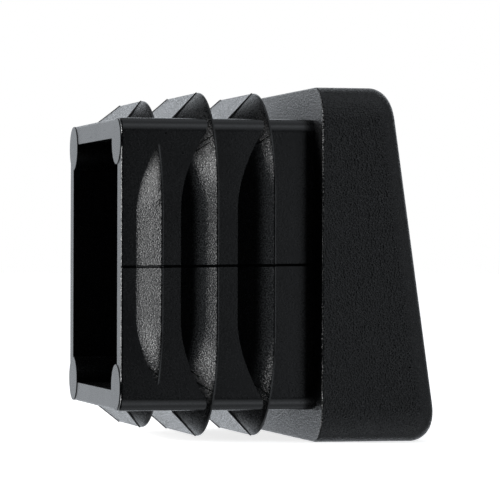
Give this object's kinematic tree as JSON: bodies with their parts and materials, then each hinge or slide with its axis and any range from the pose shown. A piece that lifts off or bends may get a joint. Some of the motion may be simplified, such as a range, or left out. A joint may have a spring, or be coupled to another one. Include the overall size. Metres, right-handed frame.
{
  "type": "tube end cap",
  "caption": "Push-in end cap for a square tube: a hollow ribbed plug that grips inside the tube, and a wedge-shaped head whose slanted outer face meets the floor.",
  "frame": {"origin": "middle of the shoulder face, on the plug's axis, where the cut end of the tube seats", "axes": "+X along the tube from the plug towards the head, +Z towards the thin side of the wedge, Y across, and the cap lies on the thick side of its head"},
  "size_m": [0.0359, 0.04, 0.04],
  "materials": {
    "plastic": "black moulded polyethylene, smooth on the plug, finely grained on lips and head"
  },
  "bodies": {
    "root": {"end_cap": "plastic"}
  },
  "joints": []
}
